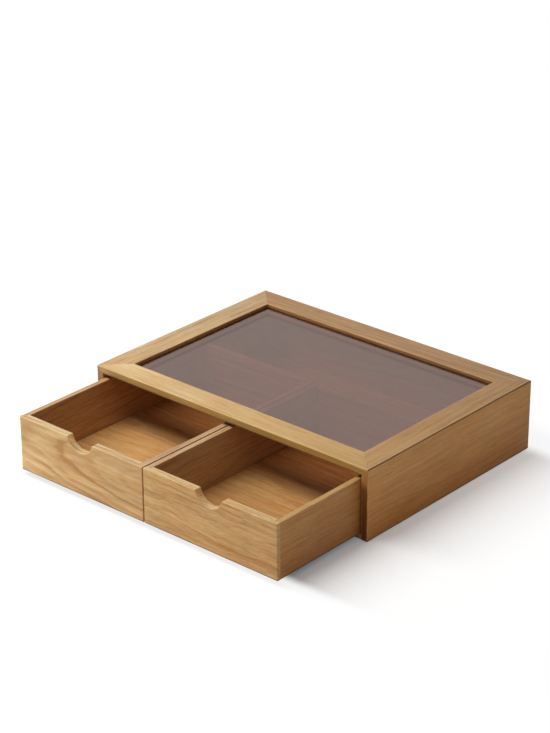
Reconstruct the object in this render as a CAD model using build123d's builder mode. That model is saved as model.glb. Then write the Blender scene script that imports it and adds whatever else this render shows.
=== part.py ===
from build123d import *
import math
import os

# Countertop pod drawer: a low wooden case with a smoked glass top and two drawers side by side.
# Millimetres, +Z up, drawers open towards -Y, origin on the middle of the case's underside.

os.makedirs("parts", exist_ok=True)

# ---- case ----
case_width = 420.0
case_depth = 305.0
case_height = 89.0
side_thickness = 9.0
base_thickness = 6.0
back_thickness = 7.0
rail_thickness = 9.0
rail_width = 32.0
arris_radius = 0.9
seam_width = 0.8
seam_depth = 1.4

# ---- glass and the strips that carry it ----
glass_thickness = 5.0
glass_edge_gap = 0.3
glass_seam = 0.6
ledge_thickness = 4.0
ledge_lip = 6.0
ledge_grip = 9.0
ledge_arris = 0.6

# ---- drawers ----
drawer_head_gap = 1.0
drawer_side_gap = 2.5
drawer_middle_gap = 2.0
drawer_rear_gap = 1.0
drawer_open = 137.5
drawer_front_thickness = 9.5
drawer_front_lip = 4.5
drawer_wall = 7.0
drawer_back_thickness = 7.5
bottom_thickness = 4.0
bottom_lift = 3.0
groove_depth = 3.5
groove_play = 0.2
notch_width = 40.0
notch_depth = 15.5
notch_corner = 1.2

# ---- places that follow from the sizes ----
half_width = case_width / 2
half_depth = case_depth / 2
bay_half_width = half_width - side_thickness
rail_bottom = case_height - rail_thickness
opening_half_width = half_width - rail_width
opening_half_depth = half_depth - rail_width
ledge_bottom = rail_bottom - ledge_thickness
mitre_length = math.hypot(side_thickness, rail_thickness)
seam_x = half_width - seam_depth * side_thickness / mitre_length
seam_z = case_height - seam_depth * rail_thickness / mitre_length
drawer_width = bay_half_width - drawer_side_gap - drawer_middle_gap / 2
drawer_length = case_depth - back_thickness - drawer_rear_gap
drawer_front_y = -half_depth - drawer_open
drawer_rear_y = drawer_front_y + drawer_length
drawer_top = ledge_bottom - drawer_head_gap
drawer_height = drawer_top - base_thickness
notch_radius = ((notch_width / 2) ** 2 + notch_depth**2) / (2 * notch_depth)


# ---- side boards: the top edge is mitred to the frame, with a fine V-groove along the seam ----
def make_side_board(hand):
    section = [
        (hand * bay_half_width, 0),
        (hand * half_width, 0),
        (hand * half_width, case_height - seam_width),
        (hand * seam_x, seam_z),
        (hand * bay_half_width, rail_bottom),
    ]
    with BuildPart() as board:
        with BuildSketch(Plane.XZ):
            with BuildLine():
                Polyline(*section, close=True)
            make_face()
        extrude(amount=half_depth, both=True)
        outer_edges = board.edges().filter_by(Axis.Z).sort_by(Axis.X)
        outer_edges = outer_edges[-2:] if hand > 0 else outer_edges[:2]
        fillet(outer_edges, radius=arris_radius)
    return board


left_side_panel = make_side_board(-1)
right_side_panel = make_side_board(1)


# ---- base and back, butted between the side boards ----
with BuildPart() as base_panel:
    with BuildSketch(Plane.XY):
        with BuildLine():
            Polyline(
                (-bay_half_width, -half_depth),
                (bay_half_width, -half_depth),
                (bay_half_width, half_depth - back_thickness),
                (-bay_half_width, half_depth - back_thickness),
                close=True,
            )
        make_face()
    extrude(amount=base_thickness)
    fillet(base_panel.edges().filter_by(Axis.X).sort_by(Axis.Y)[:2], radius=arris_radius)

with BuildPart() as back_panel:
    with BuildSketch(Plane.XZ.offset(-half_depth)):
        with BuildLine():
            Polyline(
                (-bay_half_width, 0),
                (bay_half_width, 0),
                (bay_half_width, rail_bottom),
                (-bay_half_width, rail_bottom),
                close=True,
            )
        make_face()
    extrude(amount=back_thickness)


# ---- top frame: four boards mitred in plan, and mitred again where they meet the sides ----
frame_section = [
    (-half_width + seam_width, case_height),
    (half_width - seam_width, case_height),
    (seam_x, seam_z),
    (bay_half_width, rail_bottom),
    (-bay_half_width, rail_bottom),
    (-seam_x, seam_z),
]


def make_long_rail(hand):
    with BuildPart() as rail:
        with BuildSketch(Plane.XY.offset(rail_bottom)):
            with BuildLine():
                Polyline(
                    (-half_width, hand * half_depth),
                    (half_width, hand * half_depth),
                    (opening_half_width, hand * opening_half_depth),
                    (-opening_half_width, hand * opening_half_depth),
                    close=True,
                )
            make_face()
        extrude(amount=rail_thickness)
        with BuildSketch(Plane.XZ):
            with BuildLine():
                Polyline(*frame_section, close=True)
            make_face()
        extrude(amount=case_depth, both=True, mode=Mode.INTERSECT)
        along = rail.edges().filter_by(Axis.X)
        outer_low = along.group_by(Axis.Z)[0].sort_by(lambda edge: hand * edge.center().Y)[-1]
        fillet([*along.group_by(Axis.Z)[-1], outer_low], radius=arris_radius)
    return rail


def make_short_rail(hand):
    with BuildPart() as rail:
        with BuildSketch(Plane.XY.offset(rail_bottom)):
            with BuildLine():
                Polyline(
                    (hand * half_width, -half_depth),
                    (hand * half_width, half_depth),
                    (hand * opening_half_width, opening_half_depth),
                    (hand * opening_half_width, -opening_half_depth),
                    close=True,
                )
            make_face()
        extrude(amount=rail_thickness)
        with BuildSketch(Plane.XZ):
            with BuildLine():
                Polyline(*frame_section, close=True)
            make_face()
        extrude(amount=case_depth, both=True, mode=Mode.INTERSECT)
        inner_top = rail.edges().filter_by(Axis.Y).group_by(Axis.Z)[-1]
        inner_top = inner_top.sort_by(lambda edge: hand * edge.center().X)[0]
        fillet(inner_top, radius=arris_radius)
    return rail


front_top_rail = make_long_rail(-1)
rear_top_rail = make_long_rail(1)
left_top_rail = make_short_rail(-1)
right_top_rail = make_short_rail(1)


# ---- glass ledge: strips under the frame that stand into its opening, mitred at the corners ----
ledge_out_x = opening_half_width + ledge_grip
ledge_out_y = opening_half_depth + ledge_grip
ledge_in_x = opening_half_width - ledge_lip
ledge_in_y = opening_half_depth - ledge_lip


def make_ledge(plan):
    with BuildPart() as ledge:
        with BuildSketch(Plane.XY.offset(ledge_bottom)):
            with BuildLine():
                Polyline(*plan, close=True)
            make_face()
        extrude(amount=ledge_thickness)
        long_edges = ledge.edges().group_by(Axis.Z)[0].sort_by(SortBy.LENGTH)
        chamfer(long_edges[-2], length=ledge_arris)
    return ledge


def long_ledge_plan(hand):
    return [
        (-ledge_out_x, hand * ledge_out_y),
        (ledge_out_x, hand * ledge_out_y),
        (ledge_in_x, hand * ledge_in_y),
        (-ledge_in_x, hand * ledge_in_y),
    ]


def short_ledge_plan(hand):
    return [
        (hand * ledge_out_x, -ledge_out_y),
        (hand * ledge_out_x, ledge_out_y),
        (hand * ledge_in_x, ledge_in_y),
        (hand * ledge_in_x, -ledge_in_y),
    ]


front_glass_ledge = make_ledge(long_ledge_plan(-1))
rear_glass_ledge = make_ledge(long_ledge_plan(1))
left_glass_ledge = make_ledge(short_ledge_plan(-1))
right_glass_ledge = make_ledge(short_ledge_plan(1))


# ---- glass pane: dropped into the frame from above, resting on the ledge ----
with BuildPart() as glass_top:
    with BuildSketch(Plane.XY.offset(rail_bottom)):
        Rectangle(
            2 * (opening_half_width - glass_edge_gap),
            2 * (opening_half_depth - glass_edge_gap),
        )
    extrude(amount=glass_thickness)
    chamfer(glass_top.edges().group_by(Axis.Z)[-1], length=glass_seam)


# ---- drawer front: rebated ends, a groove for the bottom and a half-moon finger notch ----
def make_drawer_front(x_low):
    x_high = x_low + drawer_width
    x_middle = x_low + drawer_width / 2
    with BuildPart() as front:
        with BuildSketch(Plane.XY.offset(base_thickness)):
            with BuildLine():
                Polyline(
                    (x_low, drawer_front_y),
                    (x_high, drawer_front_y),
                    (x_high, drawer_front_y + drawer_front_lip),
                    (x_high - drawer_wall, drawer_front_y + drawer_front_lip),
                    (x_high - drawer_wall, drawer_front_y + drawer_front_thickness),
                    (x_low + drawer_wall, drawer_front_y + drawer_front_thickness),
                    (x_low + drawer_wall, drawer_front_y + drawer_front_lip),
                    (x_low, drawer_front_y + drawer_front_lip),
                    close=True,
                )
            make_face()
        extrude(amount=drawer_height)
        with BuildSketch(Plane.XZ.offset(-drawer_front_y)):
            with Locations((x_middle, drawer_top + notch_radius - notch_depth)):
                Circle(notch_radius)
        extrude(amount=-drawer_front_thickness, mode=Mode.SUBTRACT)
        with BuildSketch(Plane.XY.offset(base_thickness + bottom_lift)):
            with BuildLine():
                Polyline(
                    (x_low, drawer_front_y + drawer_front_thickness - groove_depth),
                    (x_high, drawer_front_y + drawer_front_thickness - groove_depth),
                    (x_high, drawer_front_y + drawer_front_thickness),
                    (x_low, drawer_front_y + drawer_front_thickness),
                    close=True,
                )
            make_face()
        extrude(amount=bottom_thickness + groove_play, mode=Mode.SUBTRACT)
        cusps = front.edges().filter_by(Axis.Y).group_by(Axis.Z)[-1]
        cusps = cusps.filter_by(lambda e: abs(e.center().X - x_middle) < notch_width)
        fillet(cusps, radius=notch_corner)
        face_edges = front.faces().sort_by(Axis.Y)[0].edges()
        fillet(face_edges, radius=arris_radius)
    return front


# ---- drawer sides, back and bottom ----
def make_drawer_side(x_outer, hand):
    x_inner = x_outer - hand * drawer_wall
    x_groove = x_inner + hand * groove_depth
    groove_low = base_thickness + bottom_lift
    groove_high = groove_low + bottom_thickness + groove_play
    with BuildPart() as side:
        with BuildSketch(Plane.XZ.offset(-drawer_front_y - drawer_front_lip)):
            with BuildLine():
                Polyline(
                    (x_outer, base_thickness),
                    (x_outer, drawer_top),
                    (x_inner, drawer_top),
                    (x_inner, groove_high),
                    (x_groove, groove_high),
                    (x_groove, groove_low),
                    (x_inner, groove_low),
                    (x_inner, base_thickness),
                    close=True,
                )
            make_face()
        extrude(amount=-(drawer_length - drawer_front_lip))
        fillet(side.edges().filter_by(Axis.Y).group_by(Axis.Z)[-1], radius=arris_radius)
    return side


def make_drawer_back(x_low):
    back_inner_y = drawer_rear_y - drawer_back_thickness
    groove_low = base_thickness + bottom_lift
    groove_high = groove_low + bottom_thickness + groove_play
    with BuildPart() as back:
        with BuildSketch(Plane.YZ.offset(x_low + drawer_wall)):
            with BuildLine():
                Polyline(
                    (drawer_rear_y, base_thickness),
                    (drawer_rear_y, drawer_top),
                    (back_inner_y, drawer_top),
                    (back_inner_y, groove_high),
                    (back_inner_y + groove_depth, groove_high),
                    (back_inner_y + groove_depth, groove_low),
                    (back_inner_y, groove_low),
                    (back_inner_y, base_thickness),
                    close=True,
                )
            make_face()
        extrude(amount=drawer_width - 2 * drawer_wall)
        fillet(back.edges().filter_by(Axis.X).group_by(Axis.Z)[-1], radius=arris_radius)
    return back


def make_drawer_bottom(x_low):
    x_start = x_low + drawer_wall - groove_depth + groove_play
    x_end = x_low + drawer_width - drawer_wall + groove_depth - groove_play
    y_start = drawer_front_y + drawer_front_thickness - groove_depth + groove_play
    y_end = drawer_rear_y - drawer_back_thickness + groove_depth - groove_play
    with BuildPart() as bottom:
        with BuildSketch(Plane.XY.offset(base_thickness + bottom_lift)):
            with BuildLine():
                Polyline(
                    (x_start, y_start),
                    (x_end, y_start),
                    (x_end, y_end),
                    (x_start, y_end),
                    close=True,
                )
            make_face()
        extrude(amount=bottom_thickness)
    return bottom


left_x = -drawer_middle_gap / 2 - drawer_width
right_x = drawer_middle_gap / 2

left_drawer_front = make_drawer_front(left_x)
left_drawer_left_side = make_drawer_side(left_x, -1)
left_drawer_right_side = make_drawer_side(left_x + drawer_width, 1)
left_drawer_back = make_drawer_back(left_x)
left_drawer_bottom = make_drawer_bottom(left_x)

right_drawer_front = make_drawer_front(right_x)
right_drawer_left_side = make_drawer_side(right_x, -1)
right_drawer_right_side = make_drawer_side(right_x + drawer_width, 1)
right_drawer_back = make_drawer_back(right_x)
right_drawer_bottom = make_drawer_bottom(right_x)


# ---- export ----
pieces = {
    "left_side_panel": left_side_panel,
    "right_side_panel": right_side_panel,
    "base_panel": base_panel,
    "back_panel": back_panel,
    "front_top_rail": front_top_rail,
    "rear_top_rail": rear_top_rail,
    "left_top_rail": left_top_rail,
    "right_top_rail": right_top_rail,
    "front_glass_ledge": front_glass_ledge,
    "rear_glass_ledge": rear_glass_ledge,
    "left_glass_ledge": left_glass_ledge,
    "right_glass_ledge": right_glass_ledge,
    "glass_top": glass_top,
    "left_drawer_front": left_drawer_front,
    "left_drawer_left_side": left_drawer_left_side,
    "left_drawer_right_side": left_drawer_right_side,
    "left_drawer_back": left_drawer_back,
    "left_drawer_bottom": left_drawer_bottom,
    "right_drawer_front": right_drawer_front,
    "right_drawer_left_side": right_drawer_left_side,
    "right_drawer_right_side": right_drawer_right_side,
    "right_drawer_back": right_drawer_back,
    "right_drawer_bottom": right_drawer_bottom,
}

for name, piece in pieces.items():
    piece.part.label = name
    export_step(piece.part, f"parts/{name}.step")
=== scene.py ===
import math
from collections import namedtuple

import bmesh
import bpy
from mathutils import Matrix, Vector


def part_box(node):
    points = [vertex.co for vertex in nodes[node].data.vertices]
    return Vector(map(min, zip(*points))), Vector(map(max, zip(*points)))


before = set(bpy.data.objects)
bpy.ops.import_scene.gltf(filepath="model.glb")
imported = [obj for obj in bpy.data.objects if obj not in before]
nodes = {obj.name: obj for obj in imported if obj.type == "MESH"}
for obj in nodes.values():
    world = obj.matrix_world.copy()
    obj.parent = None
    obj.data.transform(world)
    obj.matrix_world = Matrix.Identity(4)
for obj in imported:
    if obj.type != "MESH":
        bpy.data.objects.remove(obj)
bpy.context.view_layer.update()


# ---- shader wiring ----
class Wire:
    """A socket in a finish. Arithmetic on wires adds Math nodes to the finish's tree."""

    def __init__(self, tree, socket=None):
        self.tree = tree
        self.socket = socket

    def add(self, kind, settings, inputs, output=0):
        """A new node: its type, its settings, then the values or wires of its sockets."""
        node = self.tree.nodes.new(kind)
        for setting, value in settings.items():
            if setting == "stops":
                lay_stops(node.color_ramp, value)
            else:
                setattr(node, setting, value)
        for key, value in inputs.items():
            socket = find_socket(node.inputs, key)
            if isinstance(value, Wire):
                self.tree.links.new(value.socket, socket)
            else:
                socket.default_value = value
        return Wire(self.tree, find_socket(node.outputs, output)) if node.outputs else None

    def math(self, operation, *others):
        terms = dict(enumerate((self, *others)))
        return self.add("ShaderNodeMath", {"operation": operation}, terms)

    def __add__(self, other):
        return self.math("ADD", other)

    def __radd__(self, other):
        return self.math("ADD", other)

    def __sub__(self, other):
        return self.math("SUBTRACT", other)

    def __rsub__(self, other):
        return self.add("ShaderNodeMath", {"operation": "SUBTRACT"}, {0: other, 1: self})

    def __mul__(self, other):
        return self.math("MULTIPLY", other)

    def __rmul__(self, other):
        return self.math("MULTIPLY", other)

    def __truediv__(self, other):
        return self.math("DIVIDE", other)

    def __pow__(self, other):
        return self.math("POWER", other)


def find_socket(sockets, key):
    if isinstance(key, int):
        return sockets[key]
    for socket in sockets:
        if socket.identifier == key:
            return socket
    return sockets[key]


def lay_stops(ramp, stops):
    while len(ramp.elements) < len(stops):
        ramp.elements.new(1.0)
    for element, (place, colour) in zip(ramp.elements, stops):
        element.position = place
        element.color = colour


def clamp(wire, low=0.0, high=1.0):
    return wire.add("ShaderNodeClamp", {}, {"Value": wire, "Min": low, "Max": high})


def smooth_step(wire, low, high):
    settings = {"interpolation_type": "SMOOTHSTEP"}
    inputs = {"Value": wire, "From Min": low, "From Max": high}
    return wire.add("ShaderNodeMapRange", settings, inputs)


def mix_colour(wire, factor, first, second, blend="MIX"):
    settings = {"data_type": "RGBA", "blend_type": blend}
    inputs = {"Factor_Float": factor, "A_Color": first, "B_Color": second}
    return wire.add("ShaderNodeMix", settings, inputs, "Result_Color")


def grey(level):
    return (level, level, level, 1.0)


def colour(red, green, blue):
    """A colour written as it looks on screen, 0 to 255, as the linear colour a shader takes."""
    shares = [part / 255 for part in (red, green, blue)]
    return tuple(s / 12.92 if s <= 0.04045 else ((s + 0.055) / 1.055) ** 2.4 for s in shares) + (1.0,)


# ---- oak ----
# A board is cut from a round log: along is the axis its grain runs on and face the axis its broad
# face looks along. heart is where the log's centre lies, in millimetres across the board and behind
# its broad face; lean is how fast the grain rises out of the board, and ring the width of one
# year's growth in millimetres. lines and figure are how strongly the year rings and the finer
# figure show, and curl is how far the figure sways, in millimetres. The board's colour is its tone
# at the low end of the fade axis and its far_tone at the high end, which carry painted light and
# shade as well as the oak's own colour; its narrow long faces are toned again by
# edge_tone, painted shade on the rails and painted highlight on the drawers, and
# end_stain is how dark its end grain is.
Board = namedtuple(
    "Board", "along face heart lean ring lines figure curl fade tone far_tone edge_tone end_stain seed"
)

X, Y, Z = 0, 1, 2
MILLIMETRES = 1000.0

PALE_OAK = colour(228, 188, 130)
WARM_OAK = colour(182, 130, 74)
PORE_BROWN = colour(112, 68, 34)
# The dark brown of the frame's joint lines, also used for painted shade along the bottoms.
JOINT_AND_SHADE_BROWN = colour(84, 50, 26)
AMBER_CAST = (1.04, 0.98, 0.92, 1.0)
AS_CUT = (1.0, 1.0, 1.0)

# Through one year's growth, how much of the open, darker early wood there is.
YEAR_STOPS = [(0.0, 1.0), (0.16, 0.86), (0.46, 0.3), (0.8, 0.0), (0.94, 0.3), (1.0, 1.0)]

# The patterns in the wood: how long each is along the grain and how wide across it, in millimetres,
# how finely it is broken up, and a shift that keeps it apart from the others.
WANDER = {"length": 95.0, "width": 34.0}
FLUTTER = {"length": 28.0, "width": 7.0, "shift": 7.3}
DRIFT = {"length": 400.0, "width": 60.0, "shift": 3.1}
BREAKS = {"length": 70.0, "width": 9.0, "shift": 5.0}
SWAY = {"length": 38.0, "width": 30.0, "detail": 1.0, "shift": 13.0}
STREAKS = {"length": 130.0, "width": 7.0, "detail": 3.0, "shift": 11.0, "roughness": 0.6}
FIGURE = {"length": 64.0, "width": 3.6, "detail": 3.0, "shift": 37.0}
DASHES = {"length": 12.0, "width": 1.2, "detail": 2.0, "shift": 41.0}
FIBRES = {"length": 24.0, "width": 0.5, "detail": 3.0, "shift": 17.0, "roughness": 0.65}
CLOUDS = {"length": 90.0, "width": 36.0, "shift": 23.0}
PORES = {"length": 8.0, "width": 0.42, "detail": 1.0, "shift": 29.0}
AMBER = {"length": 48.0, "width": 22.0, "shift": 47.0}
EDGE_PATCHES = {"length": 60.0, "width": 12.0, "shift": 31.0}
JOINT_PATCHES = {"length": 30.0, "width": 30.0, "shift": 53.0}

# How far the rings wander and flutter, in millimetres, and drift, in years.
WANDER_REACH = 18.0
FLUTTER_REACH = 2.4
DRIFT_YEARS = 2.0

# Where the colour changes, in millimetres: below a board's top for the end grain's painted shadow,
# from its nearest edge for worn edges with a painted highlight, and above its bottom for painted
# contact shade; then how strongly each shows.
END_SHADOW_DEPTHS = (26.0, 12.0)
RUBBED_AND_HIGHLIT = (0.5, 1.9)
BOTTOM_SHADE_HEIGHTS = (0.8, 2.4)
LESS_END_SHADOW = 0.5
RUBBED_AND_HIGHLIT_SHARE = 0.32
BOTTOM_SHADE_SHARE = 0.7
PORE_SHARE = 0.5

# Where the frame's joints darken, in millimetres from the joint, and how strongly: the seam along
# the sides is a dark joint line with painted shade in its groove. A mitre shows only on the rails,
# so it fades out at a rail's underside.
SEAM_REACH = (0.8, 1.5)
SEAM_SHARE = 0.85
MITRE_REACH = (0.15, 0.6)
MITRE_DEPTH = (8.0, 9.0)
MITRE_SHARE = 0.3

OAK_GLOSS = 0.44
OAK_SHINE = 0.3
RELIEF_STRENGTH = 0.35
RELIEF_HEIGHT = 0.00025

CASE_HALF_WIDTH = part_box("right_side_panel")[1].x * MILLIMETRES
CASE_HALF_DEPTH = -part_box("front_top_rail")[0].y * MILLIMETRES
CASE_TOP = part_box("front_top_rail")[1].z * MILLIMETRES


def oak(name, board):
    material = bpy.data.materials.new(name + "_oak")
    material.use_nodes = True
    tree = material.node_tree
    tree.nodes.clear()
    start = Wire(tree)

    low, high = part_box(name)
    middle = (low + high) / 2 * MILLIMETRES
    half = (high - low) / 2 * MILLIMETRES

    at = start.add("ShaderNodeTexCoord", {}, {}, "Object")
    place = [at.add("ShaderNodeSeparateXYZ", {}, {0: at}, axis) * MILLIMETRES for axis in (X, Y, Z)]
    parts = [place[axis] - middle[axis] for axis in (X, Y, Z)]
    across_axis = 3 - board.along - board.face
    run, across, deep = parts[board.along], parts[across_axis], parts[board.face]

    def noise(length, width, detail=2.0, shift=0.0, roughness=0.5, sway=0.0):
        """Soft noise around zero, length millimetres long and width wide."""
        spot = at.add(
            "ShaderNodeCombineXYZ",
            {},
            {0: run / length + (board.seed + shift), 1: (across + sway) / width, 2: deep / width},
        )
        inputs = {"Vector": spot, "Scale": 1.0, "Detail": detail, "Roughness": roughness}
        return at.add("ShaderNodeTexNoise", {"noise_dimensions": "3D"}, inputs, "Fac") - 0.5

    # Year rings: the distance to the log's heart, wandering a little as the tree grew.
    wander = noise(**WANDER) * WANDER_REACH
    flutter = noise(**FLUTTER) * FLUTTER_REACH
    side = across - board.heart[0] + wander
    lift = deep + board.heart[1] + run * board.lean + flutter
    reach = (side * side + lift * lift).math("SQRT")
    years = reach / board.ring + noise(**DRIFT) * DRIFT_YEARS
    season = years.math("FRACT")
    stops = [(stop, grey(level)) for stop, level in YEAR_STOPS]
    early = season.add("ShaderNodeValToRGB", {"stops": stops}, {"Fac": season})
    strong_year = years.add(
        "ShaderNodeTexNoise",
        {"noise_dimensions": "1D"},
        {"W": years * 0.9 + board.seed, "Scale": 1.0, "Detail": 1.0},
        "Fac",
    )
    broken = smooth_step(noise(**BREAKS), -0.22, 0.12) * 0.6 + 0.4
    early = early * smooth_step(strong_year, 0.3, 0.7) * broken

    # Long soft streaks, a swaying figure, short dashes, fine fibres, and open pores that crowd
    # into the early wood.
    sway = noise(**SWAY) * board.curl
    streaks = noise(**STREAKS)
    figure = noise(**FIGURE, sway=sway)
    dashes = noise(**DASHES, sway=sway)
    fibres = noise(**FIBRES)
    clouds = noise(**CLOUDS)
    pores = smooth_step(noise(**PORES), 0.08, 0.22) * (early * 0.6 + 0.4)

    broad = (early * 0.45 + streaks * 0.9) * board.lines
    fine = (figure * 1.3 + dashes * 0.9) * board.figure
    shade = clamp(broad + fine + fibres * 0.4 + clouds * 0.6 + 0.38)
    wood = mix_colour(at, shade, PALE_OAK, WARM_OAK)
    wood = mix_colour(at, pores * PORE_SHARE, wood, PORE_BROWN)
    amber = smooth_step(noise(**AMBER), -0.14, 0.16)
    wood = mix_colour(at, amber, wood, AMBER_CAST, "MULTIPLY")

    # The narrow long faces, toned again with painted light and shade, and the end grain, which drinks
    # more finish and goes darker, and darker still below a board's top, a painted shadow.
    facing = start.add("ShaderNodeTexCoord", {}, {}, "Normal")
    looks = [
        facing.add("ShaderNodeSeparateXYZ", {}, {0: facing}, axis).math("ABSOLUTE")
        for axis in (board.along, across_axis)
    ]
    end_grain = smooth_step(looks[0], 0.75, 0.95)
    edge_face = smooth_step(looks[1], 0.6, 0.9)
    from_top = [half[Z] - depth for depth in END_SHADOW_DEPTHS]
    end_shadow = 1.0 - smooth_step(parts[Z], *from_top) * LESS_END_SHADOW
    wood = mix_colour(at, end_grain * end_shadow * board.end_stain, wood, PORE_BROWN)
    wood = mix_colour(at, edge_face, wood, (*board.edge_tone, 1.0), "MULTIPLY")

    # Edges: how far the nearest other face is, from the board's own box.
    gaps = [half[axis] - parts[axis].math("ABSOLUTE") for axis in (X, Y, Z)]
    least = gaps[0].math("MINIMUM", gaps[1]).math("MINIMUM", gaps[2])
    most = gaps[0].math("MAXIMUM", gaps[1]).math("MAXIMUM", gaps[2])
    to_edge = gaps[0] + gaps[1] + gaps[2] - least - most
    # Paler edges: partly wear, partly a painted highlight along the arrises.
    edge_patches = smooth_step(noise(**EDGE_PATCHES), -0.3, 0.15)
    rubbed_and_highlit = (1.0 - smooth_step(to_edge, *RUBBED_AND_HIGHLIT)) * edge_patches
    # Darker along a board's bottom: painted contact shade.
    bottom_shade = 1.0 - smooth_step(parts[Z] + half[Z], *BOTTOM_SHADE_HEIGHTS)

    # The tone and its fade carry painted light and shade as well as the oak's own colour: paler
    # towards a lit end, darker towards a shaded one.
    fade = smooth_step(parts[board.fade], -half[board.fade], half[board.fade])
    tone = mix_colour(at, fade, (*board.tone, 1.0), (*board.far_tone, 1.0))
    wood = mix_colour(at, 1.0, wood, tone, "MULTIPLY")

    # The paler edges: wear and a painted highlight.
    wood = mix_colour(at, rubbed_and_highlit * RUBBED_AND_HIGHLIT_SHARE, wood, PALE_OAK)
    # The painted contact shade along the bottom.
    wood = mix_colour(at, bottom_shade * BOTTOM_SHADE_SHARE, wood, JOINT_AND_SHADE_BROWN)

    if name.endswith(("_rail", "_side_panel")):
        wood = mix_colour(at, case_joints(place, noise(**JOINT_PATCHES)), wood, JOINT_AND_SHADE_BROWN)

    height = fibres * 0.35 + dashes * 0.2 - pores - early * 0.2
    bump = {"Strength": RELIEF_STRENGTH, "Distance": RELIEF_HEIGHT, "Height": height}
    relief = at.add("ShaderNodeBump", {}, bump, "Normal")
    uneven = pores * 0.2 + fibres * 0.12 + clouds * 0.12 + end_grain * 0.15 - rubbed_and_highlit * 0.05
    gloss = clamp(uneven + OAK_GLOSS)
    surface = at.add(
        "ShaderNodeBsdfPrincipled",
        {},
        {
            "Base Color": wood,
            "Roughness": gloss,
            "Normal": relief,
            "Specular IOR Level": OAK_SHINE,
        },
    )
    surface.add("ShaderNodeOutputMaterial", {}, {"Surface": surface})
    return material


def case_joints(place, patchiness):
    """Where the top frame's joints darken: its seam along the sides, a dark joint line with painted
    shade in its groove, and its mitres.
    """
    from_side = CASE_HALF_WIDTH - place[X].math("ABSOLUTE")
    from_front = CASE_HALF_DEPTH - place[Y].math("ABSOLUTE")
    from_top = CASE_TOP - place[Z]
    to_seam = (from_side * from_side + from_top * from_top).math("SQRT")
    seam = (1.0 - smooth_step(to_seam, *SEAM_REACH)) * SEAM_SHARE
    mitre_gap = (from_side - from_front).math("ABSOLUTE")
    on_rail = 1.0 - smooth_step(from_top, *MITRE_DEPTH)
    mitre = (1.0 - smooth_step(mitre_gap, *MITRE_REACH)) * on_rail * MITRE_SHARE
    return clamp(seam.math("MAXIMUM", mitre) * (patchiness * 1.5 + 0.9))


def board(
    along,
    face,
    heart,
    tone=AS_CUT,
    far_tone=None,
    fade=Z,
    edge_tone=AS_CUT,
    lean=0.03,
    ring=3.2,
    lines=1.0,
    figure=0.8,
    curl=6.0,
    end_stain=0.4,
    seed=0.0,
):
    far_tone = far_tone or tone
    cut = (along, face, heart, lean, ring)
    grain = (lines, figure, curl)
    return Board(*cut, *grain, fade, tone, far_tone, edge_tone, end_stain, seed)


# The case sides' end grain is stained dark: partly real end grain, partly painted shade from the
# drawers beside their front edges.
CASE_SIDE = {"end_stain": 0.9, "lines": 0.5, "figure": 0.6}
RAIL = {"lines": 0.9, "figure": 0.75, "curl": 4.0}
FRONT_RAIL = {"lines": 0.6, "figure": 0.6, "curl": 4.0}
LEDGE_TONE = (0.84, 0.76, 0.67)
BOTTOM_TONE = (0.84, 0.76, 0.66)
# The drawers' middle walls: a darker, greyer tone, painted shade inside the drawer, and paler, bluer
# top edges, a painted highlight.
MIDDLE_WALL = {"tone": (0.76, 0.78, 0.92), "edge_tone": (0.98, 1.08, 1.25)}
# The drawer fronts' narrow top and bottom faces: a greyer, bluer tone, painted sheen.
LEFT_TOP_EDGE = (0.74, 0.85, 1.06)
RIGHT_TOP_EDGE = (0.84, 1.00, 1.24)

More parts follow.
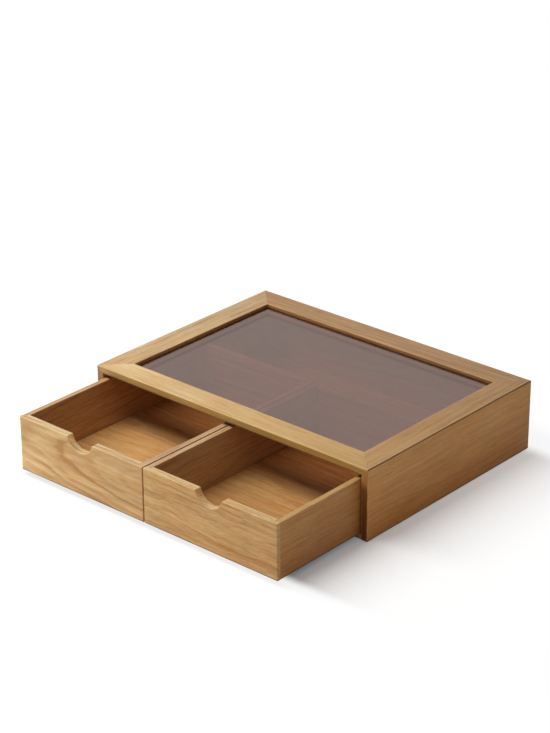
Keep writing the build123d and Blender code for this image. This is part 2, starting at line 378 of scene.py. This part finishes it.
# Most of these tones are painted light and shade as well as the oak's own colour: they follow how
# brightly each board is lit from the front left. The rails are paler at the front left and darker at
# the rear and right, a painted falloff of light.
boards = {
    # Paler and bluer at its left end, a painted sheen, darker towards its right end, painted shade;
    # its front and inner faces darker, painted shade.
    "front_top_rail": board(
        X,
        Z,
        (-60, 90),
        (0.94, 1.08, 1.24),
        (0.81, 0.81, 0.66),
        X,
        (0.92, 0.91, 0.71),
        seed=1.0,
        **FRONT_RAIL,
    ),
    # Darker all over, painted shade at the rear; its inner face darker still, painted shade.
    "rear_top_rail": board(
        X, Z, (70, 80), (0.65, 0.60, 0.58), edge_tone=(0.57, 0.49, 0.37), seed=2.0, **RAIL
    ),
    # Its inner face darker, painted shade.
    "left_top_rail": board(
        Y, Z, (50, 70), (0.78, 0.86, 0.98), edge_tone=(0.5, 0.34, 0.19), seed=3.0, **RAIL
    ),
    # Darker, and darker towards the rear, painted shade; its inner face darker still, painted shade.
    "right_top_rail": board(
        Y,
        Z,
        (-66, 75),
        (0.70, 0.65, 0.56),
        (0.65, 0.59, 0.53),
        Y,
        (0.5, 0.34, 0.19),
        seed=4.0,
        **RAIL,
    ),
    "left_side_panel": board(
        Y, X, (20, 110), (0.90, 0.79, 0.60), (0.98, 0.91, 0.75), seed=5.0, **CASE_SIDE
    ),
    # Darker and redder than the left side and darker towards its bottom: painted shade on the side
    # away from the lamp.
    "right_side_panel": board(
        Y, X, (-80, 110), (0.83, 0.54, 0.20), (1.10, 0.88, 0.53), seed=6.0, **CASE_SIDE
    ),
    "base_panel": board(X, Z, (0, 120), (0.92, 0.86, 0.78), seed=7.0),
    "back_panel": board(X, Y, (30, 120), (0.90, 0.80, 0.66), seed=8.0),
    "front_glass_ledge": board(X, Z, (40, 60), LEDGE_TONE, seed=9.0),
    "rear_glass_ledge": board(X, Z, (40, 60), LEDGE_TONE, seed=10.0),
    "left_glass_ledge": board(Y, Z, (40, 60), LEDGE_TONE, seed=11.0),
    "right_glass_ledge": board(Y, Z, (40, 60), LEDGE_TONE, seed=12.0),
    # Lighter than the oak's own colour and paler towards its left end: painted light from the front
    # left.
    "left_drawer_front": board(
        X,
        Y,
        (14, 46),
        (1.22, 1.33, 1.42),
        (1.08, 1.12, 1.14),
        X,
        LEFT_TOP_EDGE,
        lean=-0.12,
        ring=6.5,
        lines=1.8,
        figure=0.5,
        end_stain=0.1,
        seed=13.0,
    ),
    # Darker inside, painted shade; its top edge paler and bluer, a painted highlight.
    "left_drawer_left_side": board(
        Y, X, (60, 80), (0.66, 0.58, 0.58), edge_tone=(1.12, 1.29, 1.50), seed=14.0
    ),
    "left_drawer_right_side": board(Y, X, (70, 80), seed=15.0, **MIDDLE_WALL),
    "left_drawer_back": board(X, Y, (50, 80), (0.78, 0.72, 0.68), seed=16.0),
    "left_drawer_bottom": board(X, Z, (0, 130), BOTTOM_TONE, seed=17.0),
    # Lighter than the oak's own colour and paler towards its left end: painted light from the front
    # left.
    "right_drawer_front": board(
        X,
        Y,
        (-90, 60),
        (1.09, 1.12, 1.06),
        (1.03, 0.96, 0.85),
        X,
        RIGHT_TOP_EDGE,
        lean=0.06,
        ring=3.4,
        lines=0.9,
        figure=1.1,
        curl=11.0,
        end_stain=0.1,
        seed=18.0,
    ),
    "right_drawer_left_side": board(Y, X, (60, 80), seed=19.0, **MIDDLE_WALL),
    # Darker and redder towards its bottom, painted shade on the side away from the lamp; its top edge
    # paler and bluer, a painted highlight.
    "right_drawer_right_side": board(
        Y,
        X,
        (-70, 90),
        (0.69, 0.47, 0.27),
        (0.84, 0.65, 0.40),
        Z,
        (0.88, 1.15, 1.50),
        lines=0.6,
        seed=20.0,
    ),
    "right_drawer_back": board(X, Y, (50, 80), (0.78, 0.72, 0.68), seed=21.0),
    "right_drawer_bottom": board(X, Z, (0, 130), BOTTOM_TONE, seed=22.0),
}


def dress(name, material):
    piece = nodes[name]
    piece.data.materials.clear()
    piece.data.materials.append(material)


for name, plank in boards.items():
    dress(name, oak(name, plank))


# ---- smoked glass ----
GLASS_TINT = colour(212, 195, 189)
MIRROR_TINT = colour(255, 238, 230)
LEAST_MIRROR = 0.1
SMEAR_SCALE = 14.0
SMEAR_ROUGHNESS = 0.016
POLISHED_ROUGHNESS = 0.002


def smoked_glass():
    """Brown glass that is clear from above and mirrors more at a low angle, faintly smeared."""
    material = bpy.data.materials.new("smoked_glass")
    material.use_nodes = True
    tree = material.node_tree
    tree.nodes.clear()
    start = Wire(tree)
    facing = start.add("ShaderNodeLayerWeight", {}, {"Blend": 0.5}, "Facing")
    mirror_share = facing ** 5.0 * (1.0 - LEAST_MIRROR) + LEAST_MIRROR
    clear = start.add("ShaderNodeBsdfTransparent", {}, {"Color": GLASS_TINT})
    at = start.add("ShaderNodeTexCoord", {}, {}, "Object")
    cloth_marks = {"Vector": at, "Scale": SMEAR_SCALE, "Detail": 4.0}
    smear = at.add("ShaderNodeTexNoise", {}, cloth_marks, "Fac")
    polish = {"Color": MIRROR_TINT, "Roughness": smear * SMEAR_ROUGHNESS + POLISHED_ROUGHNESS}
    mirror = start.add("ShaderNodeBsdfAnisotropic", {}, polish)
    surface = start.add("ShaderNodeMixShader", {}, {0: mirror_share, 1: clear, 2: mirror})
    surface.add("ShaderNodeOutputMaterial", {}, {"Surface": surface})
    return material


dress("glass_top", smoked_glass())


# ---- floor, lamp, world, camera ----
# Metres and watts. The paint as it is seen takes a little more red than blue out of the shadow,
# against the warm light that the oak throws on it. The shadow gains strength along Y between the
# two starts and loses it between the two ends.
FLOOR_DROP = 0.0003
FLOOR_REACH = 6.0
FLOOR_PAINT = 0.85
SEEN_PAINT = (1.035, 1.02, 1.01)
SEEN_LEVEL = 1.01
LEAST_SHADOW = 0.18
SHADOW_STARTS = (-0.278, -0.260)
SHADOW_ENDS = (0.135, 0.165)
SKY_FILL = 0.22
LAMP_PLACE = Vector((-0.68, -0.50, 1.10))
LAMP_LENGTH = 1.5
LAMP_WIDTH = 0.5
LAMP_POWER = 19.5
LAMP_PARTS = 5


def lamp_light(at):
    """How brightly the open floor is lit: the sky's fill and the lamp, taken as a row of parts."""
    x, y = (at.add("ShaderNodeSeparateXYZ", {}, {0: at}, axis) for axis in (X, Y))
    part_light = LAMP_POWER / LAMP_PARTS * (LAMP_PLACE.z / math.pi) ** 2
    lit = SKY_FILL
    for part in range(LAMP_PARTS):
        across = x - (LAMP_PLACE.x + LAMP_LENGTH * ((part + 0.5) / LAMP_PARTS - 0.5))
        along = y - LAMP_PLACE.y
        square = across * across + along * along + LAMP_PLACE.z ** 2
        lit = square ** -2.0 * part_light + lit
    return lit


def shadow_share(at):
    """How much of its shadow the floor keeps: all of it beside the case, less before and behind."""
    y = at.add("ShaderNodeSeparateXYZ", {}, {0: at}, Y)
    beside = smooth_step(y, *SHADOW_STARTS) * (1.0 - smooth_step(y, *SHADOW_ENDS))
    return beside * (1.0 - LEAST_SHADOW) + LEAST_SHADOW


def studio_floor():
    mesh = bpy.data.meshes.new("studio_floor")
    shape = bmesh.new()
    bmesh.ops.create_grid(shape, x_segments=1, y_segments=1, size=FLOOR_REACH)
    bmesh.ops.translate(shape, verts=shape.verts, vec=(0, 0, -FLOOR_DROP))
    shape.to_mesh(mesh)
    shape.free()
    floor = bpy.data.objects.new("studio_floor", mesh)
    bpy.context.scene.collection.objects.link(floor)

    # Seen directly or mirrored, the floor glows by as much as the lamp's light falls off, so that it
    # is evenly white and only the object's shadow is left on it.
    material = bpy.data.materials.new("pale_floor")
    material.use_nodes = True
    tree = material.node_tree
    tree.nodes.clear()
    start = Wire(tree)
    at = start.add("ShaderNodeTexCoord", {}, {}, "Object")
    share = shadow_share(at)
    scale = {"operation": "SCALE"}
    seen_paint = at.add("ShaderNodeVectorMath", scale, {0: SEEN_PAINT, "Scale": share})
    given = at.add("ShaderNodeVectorMath", scale, {0: SEEN_PAINT, "Scale": share * lamp_light(at)})
    white = (SEEN_LEVEL, SEEN_LEVEL, SEEN_LEVEL)
    missing = at.add("ShaderNodeVectorMath", {"operation": "SUBTRACT"}, {0: white, 1: given})
    glow = at.add("ShaderNodeVectorMath", {"operation": "MAXIMUM"}, {0: missing, 1: (0.0, 0.0, 0.0)})
    seen = start.add(
        "ShaderNodeBsdfPrincipled",
        {},
        {
            "Base Color": seen_paint,
            "Specular IOR Level": 0.0,
            "Emission Color": glow,
            "Emission Strength": 1.0,
        },
    )
    paint = start.add("ShaderNodeBsdfDiffuse", {}, {"Color": grey(FLOOR_PAINT)})
    surface = start.add("ShaderNodeMixShader", {}, {0: background_ray(start), 1: paint, 2: seen})
    surface.add("ShaderNodeOutputMaterial", {}, {"Surface": surface})
    mesh.materials.append(material)


def background_ray(start):
    """One for a ray that shows the background: seen directly, mirrored, or through the glass."""
    kinds = ("Is Camera Ray", "Is Glossy Ray", "Is Transmission Ray")
    shares = [start.add("ShaderNodeLightPath", {}, {}, kind) for kind in kinds]
    return shares[0].math("MAXIMUM", shares[1]).math("MAXIMUM", shares[2])


def studio_world(fill):
    world = bpy.data.worlds.new("studio")
    world.use_nodes = True
    tree = world.node_tree
    tree.nodes.clear()
    start = Wire(tree)
    shown = background_ray(start)
    strength = shown * (1.0 - fill) + fill
    sky = start.add("ShaderNodeBackground", {}, {"Color": grey(1.0), "Strength": strength})
    sky.add("ShaderNodeOutputWorld", {}, {"Surface": sky})
    bpy.context.scene.world = world


def soft_lamp(name, place, length, width, power):
    """A long lamp that looks straight down."""
    lamp = bpy.data.lights.new(name, "AREA")
    lamp.shape = "RECTANGLE"
    lamp.size = length
    lamp.size_y = width
    lamp.energy = power
    holder = bpy.data.objects.new(name, lamp)
    holder.location = place
    bpy.context.scene.collection.objects.link(holder)


CAMERA_AZIMUTH = math.radians(41.453)
CAMERA_ELEVATION = math.radians(24.808)
CAMERA_ROLL = math.radians(-0.225)
CAMERA_PLACE = (1.56803, -1.84251, 1.21530)
PICTURE_WIDTH = 550
FOCAL_PIXELS = 2240.4
CAMERA_REACH = 40.0


def studio_camera():
    camera = bpy.data.cameras.new("studio_camera")
    camera.sensor_fit = "HORIZONTAL"
    camera.lens = camera.sensor_width * FOCAL_PIXELS / PICTURE_WIDTH
    camera.clip_end = CAMERA_REACH
    holder = bpy.data.objects.new("studio_camera", camera)
    turn = Matrix.Rotation(CAMERA_AZIMUTH, 4, "Z")
    tip = Matrix.Rotation(math.pi / 2 - CAMERA_ELEVATION, 4, "X")
    roll = Matrix.Rotation(CAMERA_ROLL, 4, "Z")
    holder.matrix_world = Matrix.Translation(CAMERA_PLACE) @ turn @ tip @ roll
    bpy.context.scene.collection.objects.link(holder)
    bpy.context.scene.camera = holder


studio_floor()
studio_world(SKY_FILL)
soft_lamp("overhead_softbox", LAMP_PLACE, LAMP_LENGTH, LAMP_WIDTH, LAMP_POWER)
studio_camera()
bpy.context.scene.view_settings.view_transform = "Standard"
